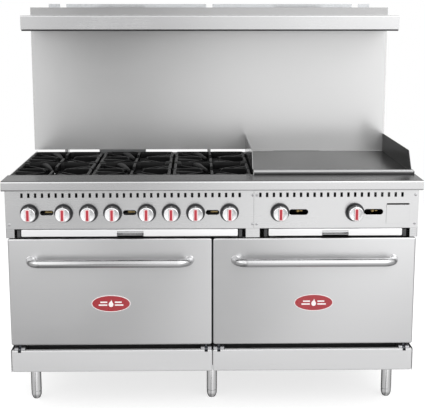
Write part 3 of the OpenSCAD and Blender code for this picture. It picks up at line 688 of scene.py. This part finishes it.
def knob_mesh():
    """One knob about its own axis, its back at y = 0 and its low grip towards -Y."""
    low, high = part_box(KNOBS[0])
    radius = (high.x - low.x) / 2
    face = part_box("knob_bezels")[0].y - 0.5 * MM
    reach = face - low.y
    drum = reach - 7 * MM
    taper = 1.5 * MM
    bm = bmesh.new()
    body = turned(0, 0, (4, 40), (4, 0.2)) + turned(radius, 0, (-2, 0), (-0.3, -0.5), (0, -1.8), (-0.3, -5))
    body += turned(radius - taper, -drum, (0, 2.4), (-0.4, 1.2), (-1.4, 0.2), (-2.6, 0), (-4, 0.6))
    body += turned(0, -drum, (4, 1.2))
    add_lathe(bm, body, (0, 0, 0), "Y", 56)
    # Painted shade: the side of the drum is drawn near black
    for f in bm.faces:
        middle = f.calc_center_median()
        if math.hypot(middle.x, middle.z) > radius - 2 * MM and middle.y > -drum + 2 * MM:
            f.material_index = 3
    # Index tooth at the top of the side
    add_box(bm, (-1.6 * MM, -drum + 8 * MM, radius - 4 * MM), (1.6 * MM, -drum + 22 * MM, radius - 0.1 * MM))
    # Grip: a bar with a rounded crown
    half_w, half_h = 9.6 * MM, 23.7 * MM
    rings = []
    for t, shrink in ((0.0, 0.0), (0.5, 0.5), (0.8, 0.9), (0.95, 1.5), (1.0, 2.2)):
        y = -(drum - 2 * MM) - t * (reach - drum + 1.6 * MM)
        outline = rounded_outline((-half_w + shrink * MM, half_w - shrink * MM),
                                  (-half_h + shrink * MM, half_h - shrink * MM), 3.8 * MM)
        rings.append([Vector((u, y, v)) for u, v in outline])
    add_rings(bm, rings)
    # Pointer: a red bar in a pale border along the crown
    for w, h, sunk, material in ((7.2, 21.4, 0.2, 2), (4.8, 19.5, 0, 1)):
        add_box(bm, (-w * MM, -reach + sunk * MM, -h * MM), (w * MM, -reach + 2 * MM, h * MM),
                material=material)
    knob = mesh_object("knob_master", bm, "knob_metal", "pointer_red", "pointer_pale", "knob_side_painted_shade", angle=40)
    mesh = knob.data
    bpy.data.objects.remove(knob)
    return mesh, face


def knobs():
    mesh, face = knob_mesh()
    for node in KNOBS:
        place = centre_of(node)
        obj = add_object(f"{node}_body", mesh, (place.x, face, place.z))
        install(obj, node, "knob_metal", node)


def dial_rings():
    """Dark dial plates behind the knobs, each with a rolled lip."""
    low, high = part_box("knob_bezels")
    radius = (high.z - low.z) / 2
    middle = (low.z + high.z) / 2
    depth = high.y - low.y
    hole = 9 * MM
    plate = [(hole, -depth + 2.4 * MM), (radius - 2.2 * MM, -depth + 2.4 * MM), (radius - 2.2 * MM, -MM),
             (hole, -MM)]
    lip = turned(radius, 0, (-2.4, 0), (0, 0))
    lip += turned(radius, -depth, (0, 1), (-0.5, 0.2), (-1.2, 0), (-1.9, 0.3), (-2.4, 1))
    bm = bmesh.new()
    for node in KNOBS:
        x = centre_of(node).x
        for material, outline in ((0, plate), (1, lip)):
            rings = [[Vector((x + r * c, high.y + y, middle + r * s)) for c, s in circle(64)]
                     for r, y in outline + outline[:1]]
            add_rings(bm, rings, capped=False, material=material)
    bmesh.ops.remove_doubles(bm, verts=bm.verts, dist=0.001 * MM)
    install(mesh_object("knob_dial_rings", bm, "dial_grey", "dial_lip"), ROOT, "bezel_metal", "knob_bezels")


knobs()
dial_rings()


# ---- grates and burner heads

GRATES = sorted(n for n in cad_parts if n.startswith("grate_"))


def add_blade(bm, angle, outline, width):
    """Upright rib that runs out from the middle at an angle: outline is (distance, height)."""
    c, s = math.cos(angle), math.sin(angle)
    rings = []
    for side in (-width / 2, width / 2):
        rings.append([Vector((r * c - side * s, r * s + side * c, h)) for r, h in outline])
    add_rings(bm, rings)


def rim_path(half, corner, notch):
    """Closed line of a grate's rim: round corners, and a shallow bay at the middle of each side."""
    quarter = []
    bay = 20 * MM
    for t in range(9):
        u = -bay + 2 * bay * t / 8
        quarter.append((half - notch * math.cos(math.pi / 2 * u / bay) ** 2, u))
    quarter += arc((half - corner, half - corner), corner, 0, 90, 6)
    path = []
    for turn in range(4):
        a = math.radians(90 * turn)
        path += [(x * math.cos(a) - y * math.sin(a), x * math.sin(a) + y * math.cos(a)) for x, y in quarter]
    return path


def grate_mesh():
    """Cast grate: bayed rim, cross and corner ribs, and broad fingers that slope to the open middle."""
    low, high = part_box(GRATES[0])
    half = (high.x - low.x) / 2
    top = high.z - low.z
    rim_w = 15 * MM
    bm = bmesh.new()
    path = rim_path(half - rim_w / 2 - 0.6 * MM, 17 * MM, 7 * MM)
    section = [(-0.5, 3), (0.5, 3), (0.47, 20), (0.34, 27), (0.0, top / MM - 0.6), (-0.34, 27), (-0.47, 20)]
    rows = []
    for i, (x, y) in enumerate(path):
        ahead = Vector(path[(i + 1) % len(path)]) - Vector(path[i - 1])
        ahead.normalize()
        out = Vector((ahead.y, -ahead.x))
        rows.append([Vector((x + out.x * u * rim_w, y + out.y * u * rim_w, h * MM)) for u, h in section])
    add_rings(bm, rows + [rows[0]], capped=False)
    bmesh.ops.remove_doubles(bm, verts=bm.verts, dist=0.001 * MM)
    inside = half - rim_w
    for k in range(8):
        diagonal = k % 2 == 1
        reach = inside * (1.36 if diagonal else 1.03)
        start = (46 if diagonal else 34) * MM
        crest = top - (9 if diagonal else 1) * MM
        outline = [(start, 12 * MM), (start + 2 * MM, 21 * MM), (start + 12 * MM, crest),
                   (reach, crest), (reach, 2 * MM), (start + 40 * MM, MM)]
        add_blade(bm, math.radians(45 * k), outline, (9 if diagonal else 10) * MM)
    # Corner lobes
    lobe = turned(0, 0, (15.5, 2), (15.5, 24)) + turned(0, top, (12, -2), (8, -1))
    for sx in (-1, 1):
        for sy in (-1, 1):
            add_lathe(bm, lobe, ((half - 17 * MM) * sx, (half - 17 * MM) * sy, 0), "Z", 24)
    add_fingers(bm, inside, top)
    grate = mesh_object("grate_master", bm, "cast_iron")
    remesh = grate.modifiers.new("cast", "REMESH")
    remesh.mode, remesh.voxel_size = "VOXEL", 1.9 * MM
    relax = grate.modifiers.new("relax", "SMOOTH")
    relax.factor, relax.iterations = 0.5, 4
    thin = grate.modifiers.new("thin", "DECIMATE")
    thin.ratio = 0.35
    apply_modifiers(grate, 60)
    mesh = grate.data
    bpy.data.objects.remove(grate)
    return mesh


def add_fingers(bm, inside, top):
    """Broad round-topped fingers like a pinwheel: each runs down from the rim to the open middle."""
    rows, lean, tip = 9, 23, 44 * MM
    rim = (inside + 3 * MM) / math.cos(math.radians(lean))
    section = ((-1.0, -13), (-1.0, -5), (-0.8, -2), (-0.4, 0), (0.0, 0.7), (0.4, 0), (0.8, -2), (1.0, -5),
               (1.0, -13))
    for k in range(4):
        a = math.radians(90 * k + lean)
        along, across = Vector((math.cos(a), math.sin(a), 0)), Vector((-math.sin(a), math.cos(a), 0))
        rings = []
        for row in range(rows):
            t = row / (rows - 1)
            r = tip + (rim - tip) * t
            w = (7 + 11 * t) * MM
            h = 15 * MM + (top - 17 * MM) * t ** 0.7
            rings.append([along * r + across * (u * w) + Vector((0, 0, max(MM, h + v * MM)))
                          for u, v in section])
        add_rings(bm, rings)


def grates():
    mesh = grate_mesh()
    for node in GRATES:
        place = centre_of(node)
        obj = add_object(f"{node}_casting", mesh, (place.x, place.y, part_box(node)[0].z))
        install(obj, node, "cast_iron", node)


def burner_heads():
    """Ported caps: a ring of small slots under a domed lid."""
    low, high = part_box("burner_heads")
    radius = 48 * MM
    outline = turned(radius, 0, (-8, 0), (-1, 0), (0, 1), (0, 3), (0, 9), (-1, 11), (-5, 12.5), (-12, 13),
                     (-13, 17), (-17, 19)) + [(radius - 30 * MM, high.z - low.z)]
    bm = bmesh.new()
    for node in GRATES:
        middle = centre_of(node)
        rings = []
        for r, h in outline:
            ported = abs(h - 6 * MM) <= 3.1 * MM
            ring = []
            for k, (c, s) in enumerate(circle(96)):
                rr = r - 5 * MM if ported and k % 4 == 0 else r
                ring.append(Vector((middle.x + rr * c, middle.y + rr * s, low.z + h)))
            rings.append(ring)
        add_rings(bm, rings)
    install(mesh_object("burner_head_caps", bm, "burner_iron"), ROOT, "burner_iron", "burner_heads")


grates()
burner_heads()


# ---- griddle splashes and trough

def griddle():
    low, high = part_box("griddle_surround")
    plate_low, plate_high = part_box("griddle_plate")
    back, front = high.y, low.y
    top, table = high.z, plate_high.z
    gap = 0.15 * MM
    for side, x in (("left", (low.x, plate_low.x - gap)), ("right", (plate_high.x + gap, high.x))):
        slope_start, slope_end = back - 502 * MM, back - 552 * MM
        step = table + 10 * MM
        outline = [(back, low.z), (back, top - 4 * MM)]
        outline += arc((back - 4 * MM, top - 4 * MM), 4 * MM, 0, 90, 4)
        outline += [(slope_start, top), (slope_start - 3 * MM, top - 1.5 * MM), (slope_end, step + 2 * MM),
                    (slope_end - 3 * MM, step), (front + 4 * MM, step), (front + MM, step - MM),
                    (front, step - 4 * MM), (front, low.z)]
        bm = bmesh.new()
        add_rings(bm, [[Vector((xx, y, z)) for y, z in outline] for xx in x])
        bmesh.ops.bevel(bm, geom=[e for e in bm.edges if abs(e.verts[0].co.x - e.verts[1].co.x) < 1e-6],
                        offset=0.35 * MM, segments=2, affect="EDGES")
        install(mesh_object(f"griddle_splash_{side}", bm, f"splash_{side}_steel"), ROOT, "stainless")
    trough(low, plate_low, plate_high)


def trough(low, plate_low, plate_high):
    """Grease trough with a rolled front edge over a black strip of painted shadow, and its chute."""
    sheet = 2 * MM
    x = (plate_low.x, plate_high.x)
    table = plate_high.z
    front, rear = low.y + MM, plate_low.y - 2 * MM
    floor = table - 36 * MM
    roll = 7.2 * MM
    bar = (front + roll, table + 8.4 * MM)
    wall = front + 2 * roll - sheet / 2
    line = arc(bar, roll - sheet / 2, 300, 0, 16)
    line += [(wall, bar[1] - 6 * MM), (wall, floor + 8 * MM)]
    line += arc((wall + 6 * MM, floor + 7 * MM), 6 * MM, 180, 270, 4)[1:]
    line += arc((rear - 7 * MM, floor + 7 * MM), 6 * MM, 270, 360, 4)
    line += [(rear - sheet / 2, table - 23 * MM)]
    bm = bmesh.new()
    add_sheet(bm, line, sheet, x)
    obj = mesh_object("griddle_trough", bm, "trough_steel")
    drawer_low, drawer_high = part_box("grease_drawer")
    chute = (drawer_low.x + 18 * MM, drawer_high.x - 18 * MM)
    depth = (wall + 8 * MM, rear - 9 * MM)
    cut_boxes(obj, [((chute[0], depth[0], floor - 4 * MM), (chute[1], depth[1], floor + 4 * MM))])
    install(obj, ROOT, "stainless", "griddle_surround")
    # Painted shadow: a black strip under the rolled edge
    bm = bmesh.new()
    add_box(bm, (x[0], front + 2 * MM, table - 2 * MM), (x[1], wall - sheet / 2, table + 2.4 * MM))
    install(mesh_object("griddle_trough_shadow_strip", bm, "burner_frame"), ROOT, "painted_frame")
    bm = bmesh.new()
    bottom = drawer_high.z + 2 * MM
    for xx in ((chute[0] - sheet, chute[0]), (chute[1], chute[1] + sheet)):
        add_box(bm, (xx[0], depth[0], bottom), (xx[1], depth[1], floor))
    for yy in ((depth[0] - sheet, depth[0]), (depth[1], depth[1] + sheet)):
        add_box(bm, (chute[0] - sheet, yy[0], bottom), (chute[1] + sheet, yy[1], floor))
    install(mesh_object("griddle_chute", bm, "trough_steel"), ROOT, "stainless")


griddle()


# ---- shelf hem, drawn as painted shadow

def shelf_hem_painted_shadow():
    """Hem folded in under the lip of the high shelf, drawn near black as painted shadow."""
    low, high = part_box("high_shelf")
    bm = bmesh.new()
    add_box(bm, (low.x + 3 * MM, low.y + 1.5 * MM, low.z - 6 * MM),
            (high.x - 3 * MM, low.y + 14 * MM, low.z - 0.2 * MM), edge=0.5 * MM)
    install(mesh_object("high_shelf_hem_shadow", bm, "shelf_hem_painted_shadow"), ROOT, "stainless")


shelf_hem_painted_shadow()


# ---- crumb trays

TAB_CENTRE = {"left": -304 * MM, "right": 456 * MM}
TAB_HALF = 49 * MM


def crumb_tray(side):
    """Pan with a rolled rim, its bright front strip, and a curved finger pull let into the strip."""
    node = f"crumb_tray_{side}"
    low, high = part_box(node)
    pull_reach, pull_drop, sheet = 16 * MM, 7 * MM, 1.2 * MM
    face = low.y + pull_reach
    tab = (TAB_CENTRE[side] - TAB_HALF, TAB_CENTRE[side] + TAB_HALF)
    bm = bmesh.new()
    add_folded_panel(bm, (low.x, high.x), (face, face + 6 * MM), (low.z, high.z), 1.8 * MM, sheet)
    strip = mesh_object(f"crumb_tray_{side}_front", bm, "tray_steel")
    cut_boxes(strip, [((tab[0], face - MM, low.z - MM), (tab[1], face + 7 * MM, high.z - pull_drop))])
    install(strip, node, "tray_steel", node)
    bm = bmesh.new()
    pull_top = high.z - pull_drop
    curve = [(face + 1.5 * MM, pull_top + 3 * MM), (face + 1.5 * MM, pull_top)]
    curve += arc((face - 11 * MM, pull_top), 12.5 * MM, 0, -80, 8)[1:]
    curve += [(face - 11 * MM, pull_top - 12.6 * MM), (face - 13.5 * MM, pull_top - 11 * MM)]
    add_sheet(bm, curve, sheet, tab)
    install(mesh_object(f"crumb_tray_{side}_pull", bm, "pull_steel"), node, "tray_steel")
    bm = bmesh.new()
    inner = (low.x + 2 * MM, high.x - 2 * MM)
    rim_z = high.z - 6 * MM
    line = [(face + 7 * MM, rim_z), (face + 7 * MM, low.z + 4 * MM), (face + 10 * MM, low.z + sheet / 2),
            (high.y - 4 * MM, low.z + sheet / 2), (high.y - sheet / 2, low.z + 4 * MM),
            (high.y - sheet / 2, rim_z)]
    add_sheet(bm, line, sheet, (inner[0] + sheet, inner[1] - sheet))
    for x in (inner[0], inner[1] - sheet):
        add_box(bm, (x, face + 6 * MM, low.z + 0.3 * MM), (x + sheet, high.y, rim_z), edge=0.3 * MM)
    # The pan is drawn dark grey as painted shade
    install(mesh_object(f"crumb_tray_{side}_pan", bm, "pan_sheet_painted_shade"), node, "tray_steel")


for tray_side in SIDES:
    crumb_tray(tray_side)


# ---- legs, feet and screws

def legs():
    """Three tubes along the front and three along the rear, each on a bullet foot."""
    low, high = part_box("legs")
    feet_low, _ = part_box("levelling_feet")
    tubes, feet = bmesh.new(), bmesh.new()
    radius = 20.5 * MM
    tube = turned(radius, low.z, (-3, 0), (-0.5, 0), (0, 0.5))
    tube += turned(radius, high.z, (0, -1), (-0.5, 0), (-6, 0))
    foot = turned(0, 0, (8, 0), (10, 0.2), (12.5, 1.6), (15, 5), (18.4, 13), (19.5, 17), (20.1, 22),
                  (20.1, 32.6), (19.4, 33.3), (9, 33.4))
    for x in (low.x + radius, 0.0, high.x - radius):
        for y in (low.y + radius, high.y - radius):
            add_lathe(tubes, tube, (x, y, 0), "Z")
            add_lathe(feet, foot, (x, y, feet_low.z), "Z")
    install(mesh_object("leg_tubes", tubes, "leg_steel"), ROOT, "leg_steel", "legs")
    install(mesh_object("bullet_feet", feet, "leg_steel"), ROOT, "foot_steel", "levelling_feet")


def screws():
    """Pan-head screws with a cross recess, on the CAD screws' own places."""
    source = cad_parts["panel_screws"].data
    groups = []
    for v in source.vertices:
        for g in groups:
            if math.hypot(v.co.x - g[0].x, v.co.z - g[0].z) < 12 * MM:
                g.append(v.co)
                break
        else:
            groups.append([v.co.copy()])
    low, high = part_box("panel_screws")
    bm = bmesh.new()
    head = turned(0, 0, (5, 0), (5, -0.7), (4.5, -1.5), (3.2, -2.05), (1.6, -2.3))
    level, upright = [], []
    for g in groups:
        x, z = ((min(p[i] for p in g) + max(p[i] for p in g)) / 2 for i in (0, 2))
        add_lathe(bm, head, (x, high.y, z), "Y", 32)
        for cuts, w, h in ((level, 2.4, 0.45), (upright, 0.45, 2.4)):
            cuts.append(((x - w * MM, low.y - MM, z - h * MM), (x + w * MM, low.y + 1.5 * MM, z + h * MM)))
    obj = mesh_object("panel_screw_heads", bm, "screw_steel")
    # The slots of a cross overlap, so they are cut one after the other
    cut_boxes(obj, level)
    cut_boxes(obj, upright)
    install(obj, ROOT, "screw_steel", "panel_screws")


legs()
screws()


# ---- oven racks and pilot tubes

RACK_WIDTH = 667 * MM
GRIDDLE_SLOTS = (166 * MM, 444 * MM)  # middle of each slot, from the left edge of the right control panel


def oven_racks():
    """Wire racks: a heavy frame and cross wires, with close-set rods on top."""
    low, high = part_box("oven_racks")
    thick, thin = 2.4 * MM, 1.6 * MM
    levels = (low.z + thick, high.z - thick)
    bm = bmesh.new()
    for centre in (low.x + RACK_WIDTH / 2, high.x - RACK_WIDTH / 2):
        x = (centre - RACK_WIDTH / 2 + thick, centre + RACK_WIDTH / 2 - thick)
        y = (low.y + thick, high.y - thick)
        for z in levels:
            loop = [(px, py, z) for px, py in rounded_outline(x, y, 14 * MM)]
            add_tube(bm, loop + [loop[0]], thick, 12)
            for k in range(1, 4):
                yy = y[0] + (y[1] - y[0]) * k / 4
                add_tube(bm, [(x[0], yy, z - 0.2 * MM), (x[1], yy, z - 0.2 * MM)], thick * 0.9, 10)
            count = 26
            for k in range(1, count):
                xx = x[0] + (x[1] - x[0]) * k / count
                add_tube(bm, [(xx, y[0], z + 0.6 * MM), (xx, y[1], z + 0.6 * MM)], thin, 8)
    install(mesh_object("oven_rack_wires", bm, "rack_chrome"), ROOT, "rack_chrome", "oven_racks")


def pilot_tubes():
    """Brass pilot tube with its hood behind every burner slot, and a bare tip behind the griddle slots."""
    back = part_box("control_panel_left")[1].y + 9 * MM
    level = centre_of(KNOBS[0]).z
    bm = bmesh.new()
    for x in sorted({round(sum(corner.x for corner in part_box(n)) / 2, 4) for n in GRATES}):
        add_tube(bm, [(x - 7 * MM, back, level + MM), (x + 19 * MM, back, level + MM)], 3.6 * MM, 16)
        add_box(bm, (x - 5 * MM, back - MM, level - 3.5 * MM), (x + 5 * MM, back + 10 * MM, level + 5 * MM),
                edge=0.8 * MM)
    right_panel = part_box("control_panel_right")[0].x
    for offset in GRIDDLE_SLOTS:
        x = right_panel + offset
        add_tube(bm, [(x + 6 * MM, back, level + 3 * MM), (x + 14 * MM, back, level + 3 * MM)], 3 * MM, 16)
    install(mesh_object("pilot_tubes", bm, "tap_brass"), ROOT, "tap_brass")


oven_racks()
pilot_tubes()


# ---- studio

def floor():
    """Pale floor that fades out into the white of the studio."""
    reach = 9.0
    bm = bmesh.new()
    corners = [Vector((sx * reach, sy * reach, 0)) for sx, sy in ((-1, -1), (1, -1), (1, 1), (-1, 1))]
    bm.faces.new([bm.verts.new(c) for c in corners])
    mesh = bpy.data.meshes.new("floor")
    bm.to_mesh(mesh)
    bm.free()
    obj = add_object("floor", mesh)
    s = Shader("floor_paper")
    cloud = s.noise(3.0, detail=3.0)
    s.base(s.blend(cloud, (0.40, 0.40, 0.40), (0.43, 0.43, 0.43)))
    s.set(Roughness=0.9, Emission_Color=(1.0, 1.0, 1.0, 1.0), Emission_Strength=0.72)
    distance = s.node("ShaderNodeVectorMath", operation="LENGTH")
    s.link(s.coords, distance.inputs[0])
    s.link(s.remap(distance.outputs["Value"], 1.8, 4.2, 1.0, 0.0), s.bsdf.inputs["Alpha"])
    mesh.materials.append(s.material)
    obj.visible_glossy = False


def area_light(name, place, target, size, power):
    data = bpy.data.lights.new(name, "AREA")
    data.shape, data.size, data.size_y, data.energy = "RECTANGLE", size[0], size[1], power
    obj = add_object(name, data, place)
    obj.rotation_euler = (Vector(target) - Vector(place)).to_track_quat("-Z", "Y").to_euler()
    obj.visible_camera = False


def studio_world():
    """White to the camera, even light for matt surfaces, and a soft grey room in the reflections."""
    world = bpy.data.worlds.new("studio")
    bpy.context.scene.world = world
    world.use_nodes = True
    s = Nodes(world.node_tree)
    s.tree.nodes.clear()
    path = s.node("ShaderNodeLightPath")
    direction = s.node("ShaderNodeTexCoord").outputs["Generated"]
    across, depth, height = (s.part(direction, axis) for axis in "XYZ")

    def background(strength):
        node = s.node("ShaderNodeBackground")
        node.inputs["Color"].default_value = (1, 1, 1, 1)
        if isinstance(strength, float):
            node.inputs["Strength"].default_value = strength
        else:
            s.link(strength, node.inputs["Strength"])
        return node.outputs[0]

    def choose(factor, first, second):
        node = s.node("ShaderNodeMixShader")
        for socket, output in zip(node.inputs, (factor, first, second)):
            s.link(output, socket)
        return node.outputs[0]

    def ramp(tones):
        """Brightness across the room, as (X of the direction, brightness) pairs."""
        node = s.node("ShaderNodeValToRGB")
        stops = node.color_ramp.elements
        while len(stops) < len(tones):
            stops.new(0.5)
        for stop, (x, tone) in zip(stops, tones):
            stop.position = (x + 1) / 2
            stop.color = (tone / 2, tone / 2, tone / 2, 1)
        s.link(s.remap(across, -1.0, 1.0), node.inputs["Fac"])
        return s.remap(node.outputs["Color"], 0.0, 1.0, 0.0, 2.0)

    # Eye level: a dark gap a little to the left of the camera between two bright walls
    upper = ramp(((-1.0, 0.65), (-0.7, 0.8), (-0.35, 1.0), (-0.19, 1.35), (-0.14, 0.35), (-0.09, 0.16),
                  (-0.04, 0.34), (0.02, 1.1), (0.10, 1.2), (0.25, 1.4), (1.0, 0.65)))
    # Below eye level: a slow rise from left to right
    lower = ramp(((-1.0, 0.6), (-0.6, 0.8), (-0.35, 0.46), (-0.15, 0.58), (-0.05, 0.80), (0.04, 1.20),
                  (0.2, 1.10), (0.35, 1.0), (1.0, 0.65)))
    below_eyes = (-0.26, -0.12)
    room = s.combine("ADD", s.combine("MULTIPLY", upper, s.remap(height, *below_eyes)),
                     s.combine("MULTIPLY", lower, s.remap(height, *below_eyes, 1.0, 0.0)))
    # Dimmer behind the range and at the ground
    room = s.combine("MULTIPLY", room, s.remap(depth, 0.0, 0.5, 1.0, 0.12))
    room = s.combine("MULTIPLY", room, s.remap(height, -0.8, -0.45, 0.5, 1.0))
    ceiling = s.combine("MULTIPLY", s.remap(height, 0.0, 0.25, 0.0, 0.75),
                        s.remap(depth, -0.2, 0.15, 1.0, 0.0))
    backdrop = s.remap(depth, 0.82, 0.94, 0.0, 0.9)
    overhead = s.combine("ADD", s.combine("ADD", room, ceiling), backdrop)
    seen = choose(path.outputs["Is Diffuse Ray"], background(overhead), background(1.0))
    out = s.node("ShaderNodeOutputWorld")
    s.link(choose(path.outputs["Is Camera Ray"], seen, background(1.0)), out.inputs["Surface"])


def camera():
    """The photograph's own view point, looking down a little instead of being shifted all the way."""
    data = bpy.data.cameras.new("camera")
    data.sensor_width = 36.0
    data.lens = 80.1
    data.shift_y = -0.05
    obj = add_object("camera", data, (-0.062, -3.761, 1.515))
    tilt, turn = 10.28, -1.04
    obj.rotation_euler = (math.radians(90 - tilt), 0, math.radians(turn))
    bpy.context.scene.camera = obj


floor()
studio_world()
area_light("key_softbox", (2.6, -3.2, 3.0), (0.2, 0.0, 0.7), (2.4, 2.4), 45)
area_light("fill_softbox", (-3.2, -2.6, 2.4), (-0.2, 0.0, 0.7), (2.0, 2.4), 14)
camera()
bpy.context.scene.view_settings.view_transform = "Standard"
